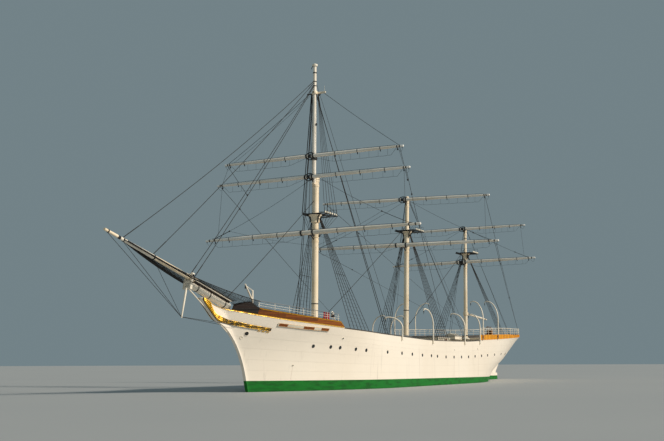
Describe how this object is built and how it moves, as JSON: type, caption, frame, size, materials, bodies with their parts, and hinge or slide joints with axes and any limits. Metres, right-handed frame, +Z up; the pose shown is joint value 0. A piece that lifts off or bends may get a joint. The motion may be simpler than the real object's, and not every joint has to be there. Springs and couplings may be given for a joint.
{
  "type": "three-masted full-rigged sailing ship, scale model 1:10",
  "caption": "Full-rigged sailing ship with clipper bow, raised forecastle and poop, square yards that brace, turning davits and a working rudder, one tenth of full size.",
  "frame": {"origin": "amidships on the centreline at the waterline", "axes": "+X to the bow, +Y to port, +Z up"},
  "size_m": [9.2064, 2.4, 3.806],
  "materials": {
    "hull_paint": "warm white paint with a green boot-top",
    "bottom_paint": "matt red-brown underwater paint",
    "rail_wood": "varnished dark wood",
    "varnished_wood": "bright varnished wood",
    "gilding": "gilded carving on black",
    "board_wood": "dark painted wood",
    "spar_paint": "cream spar paint",
    "white_paint": "white gloss paint",
    "dark_iron": "black painted iron",
    "wire": "tarred wire",
    "house_paint": "grey deck paint"
  },
  "bodies": {
    "root": {"hull": "hull_paint", "main_bulwark_port": "hull_paint", "main_bulwark_starboard": "hull_paint", "forecastle_bulwark_port": "rail_wood", "forecastle_bulwark_starboard": "rail_wood", "poop_bulwark_port": "varnished_wood", "poop_bulwark_starboard": "varnished_wood", "trail_board_port": "gilding", "trail_board_starboard": "gilding", "name_board_port": "board_wood", "name_board_starboard": "board_wood", "bowsprit": "white_paint", "jib_boom": "spar_paint", "martingale": "white_paint", "foremast": "spar_paint", "mainmast": "spar_paint", "mizzenmast": "spar_paint", "fore_top": "dark_iron", "main_top": "dark_iron", "mizzen_top": "dark_iron", "fore_crosstrees": "dark_iron", "fore_stay": "wire", "fore_topmast_stay_port": "wire", "fore_topmast_stay_starboard": "wire", "jib_stay": "wire", "fore_topgallant_stay": "wire", "main_stay": "wire", "mizzen_stay": "wire", "fore_deckhouse": "house_paint", "fore_hatch": "house_paint", "midship_deckhouse": "house_paint", "main_hatch": "house_paint", "aft_deckhouse": "house_paint", "poop_skylight": "house_paint", "steering_box": "rail_wood"},
    "rudder": {"rudder": "bottom_paint"},
    "steering_wheel": {"steering_wheel": "rail_wood"},
    "fore_topsail_parrel": {"fore_topsail_parrel": "dark_iron"},
    "spanker_boom": {"spanker_boom": "spar_paint"},
    "capstan": {"capstan": "dark_iron"},
    "anchor_crane": {"anchor_crane": "white_paint"},
    "fore_yard": {"fore_yard": "spar_paint"},
    "fore_lower_topsail_yard": {"fore_lower_topsail_yard": "spar_paint"},
    "fore_upper_topsail_yard": {"fore_upper_topsail_yard": "spar_paint"},
    "main_yard": {"main_yard": "spar_paint"},
    "main_topsail_yard": {"main_topsail_yard": "spar_paint"},
    "crossjack_yard": {"crossjack_yard": "spar_paint"},
    "mizzen_topsail_yard": {"mizzen_topsail_yard": "spar_paint"},
    "davit_port_1": {"davit_port_1": "white_paint"},
    "davit_port_2": {"davit_port_2": "white_paint"},
    "davit_port_3": {"davit_port_3": "white_paint"},
    "davit_port_4": {"davit_port_4": "white_paint"},
    "davit_port_5": {"davit_port_5": "white_paint"},
    "davit_port_6": {"davit_port_6": "white_paint"},
    "davit_starboard_1": {"davit_starboard_1": "white_paint"},
    "davit_starboard_2": {"davit_starboard_2": "white_paint"},
    "davit_starboard_3": {"davit_starboard_3": "white_paint"},
    "davit_starboard_4": {"davit_starboard_4": "white_paint"},
    "davit_starboard_5": {"davit_starboard_5": "white_paint"},
    "davit_starboard_6": {"davit_starboard_6": "white_paint"}
  },
  "joints": [
    {"name": "rudder_turn", "type": "hinge", "parent": "root", "child": "rudder", "pos_m": [-3.38, 0, 0], "axis": [-0.1262, 0, 0.992], "range_deg": [-35, 35]},
    {"name": "wheel_turn", "type": "hinge", "parent": "root", "child": "steering_wheel", "pos_m": [-3.13, 0, 0.69749], "axis": [1, 0, 0], "range_deg": [-720, 720]},
    {"name": "fore_yard_brace", "type": "hinge", "parent": "root", "child": "fore_yard", "pos_m": [2.32691, 0, 1.505], "axis": [0, 0, 1], "range_deg": [-35, 35]},
    {"name": "fore_lower_topsail_yard_brace", "type": "hinge", "parent": "root", "child": "fore_lower_topsail_yard", "pos_m": [2.30683, 0, 2.065], "axis": [0, 0, 1], "range_deg": [-35, 35]},
    {"name": "fore_upper_topsail_yard_brace", "type": "hinge", "parent": "fore_topsail_parrel", "child": "fore_upper_topsail_yard", "pos_m": [2.29396, 0, 2.28], "axis": [0, 0, 1], "range_deg": [-35, 35]},
    {"name": "fore_topsail_hoist", "type": "slide", "parent": "root", "child": "fore_topsail_parrel", "axis": [-0.018, 0, 0.9998], "range_m": [0, 0.55]},
    {"name": "main_yard_brace", "type": "hinge", "parent": "root", "child": "main_yard", "pos_m": [-0.00011, 0, 1.627], "axis": [0, 0, 1], "range_deg": [-35, 35]},
    {"name": "main_topsail_yard_brace", "type": "hinge", "parent": "root", "child": "main_topsail_yard", "pos_m": [-0.05536, 0, 2.185], "axis": [0, 0, 1], "range_deg": [-35, 35]},
    {"name": "crossjack_yard_brace", "type": "hinge", "parent": "root", "child": "crossjack_yard", "pos_m": [-2.1026, 0, 1.612], "axis": [0, 0, 1], "range_deg": [-35, 35]},
    {"name": "mizzen_topsail_yard_brace", "type": "hinge", "parent": "root", "child": "mizzen_topsail_yard", "pos_m": [-2.16005, 0, 2.081], "axis": [0, 0, 1], "range_deg": [-35, 35]},
    {"name": "spanker_boom_swing", "type": "hinge", "parent": "root", "child": "spanker_boom", "pos_m": [-2.2146, 0, 0.912], "axis": [0, 0, 1], "range_deg": [-50, 50]},
    {"name": "capstan_turn", "type": "hinge", "parent": "root", "child": "capstan", "pos_m": [3.24, 0, 0.6], "axis": [0, 0, 1], "continuous": true},
    {"name": "anchor_crane_turn", "type": "hinge", "parent": "root", "child": "anchor_crane", "pos_m": [3.39, 0, 0.7], "axis": [0, 0, 1], "range_deg": [-170, 170]},
    {"name": "davit_port_1_turn", "type": "hinge", "parent": "root", "child": "davit_port_1", "pos_m": [1.47499, 0.6035, 0.5], "axis": [0, 0, 1], "range_deg": [-30, 145]},
    {"name": "davit_port_2_turn", "type": "hinge", "parent": "root", "child": "davit_port_2", "pos_m": [0.617, 0.6035, 0.5], "axis": [0, 0, 1], "range_deg": [-76, 99]},
    {"name": "davit_port_3_turn", "type": "hinge", "parent": "root", "child": "davit_port_3", "pos_m": [-0.414, 0.6035, 0.5], "axis": [0, 0, 1], "range_deg": [-5, 170]},
    {"name": "davit_port_4_turn", "type": "hinge", "parent": "root", "child": "davit_port_4", "pos_m": [-0.97005, 0.60315, 0.5], "axis": [0, 0, 1], "range_deg": [0, 190]},
    {"name": "davit_port_5_turn", "type": "hinge", "parent": "root", "child": "davit_port_5", "pos_m": [-1.10212, 0.60205, 0.5], "axis": [0, 0, 1], "range_deg": [0, 185]},
    {"name": "davit_port_6_turn", "type": "hinge", "parent": "root", "child": "davit_port_6", "pos_m": [-1.76451, 0.58434, 0.5], "axis": [0, 0, 1], "range_deg": [0, 185]},
    {"name": "davit_starboard_1_turn", "type": "hinge", "parent": "root", "child": "davit_starboard_1", "pos_m": [1.47499, -0.6035, 0.5], "axis": [0, 0, 1], "range_deg": [-145, 30]},
    {"name": "davit_starboard_2_turn", "type": "hinge", "parent": "root", "child": "davit_starboard_2", "pos_m": [0.617, -0.6035, 0.5], "axis": [0, 0, 1], "range_deg": [-99, 76]},
    {"name": "davit_starboard_3_turn", "type": "hinge", "parent": "root", "child": "davit_starboard_3", "pos_m": [-0.414, -0.6035, 0.5], "axis": [0, 0, 1], "range_deg": [-170, 5]},
    {"name": "davit_starboard_4_turn", "type": "hinge", "parent": "root", "child": "davit_starboard_4", "pos_m": [-0.97005, -0.60315, 0.5], "axis": [0, 0, 1], "range_deg": [-190, 0]},
    {"name": "davit_starboard_5_turn", "type": "hinge", "parent": "root", "child": "davit_starboard_5", "pos_m": [-1.10212, -0.60205, 0.5], "axis": [0, 0, 1], "range_deg": [-185, 0]},
    {"name": "davit_starboard_6_turn", "type": "hinge", "parent": "root", "child": "davit_starboard_6", "pos_m": [-1.76451, -0.58434, 0.5], "axis": [0, 0, 1], "range_deg": [-185, 0]}
  ],
  "couplings": [
    {"joint": "wheel_turn", "follows": "rudder_turn", "ratio": 20.57}
  ]
}
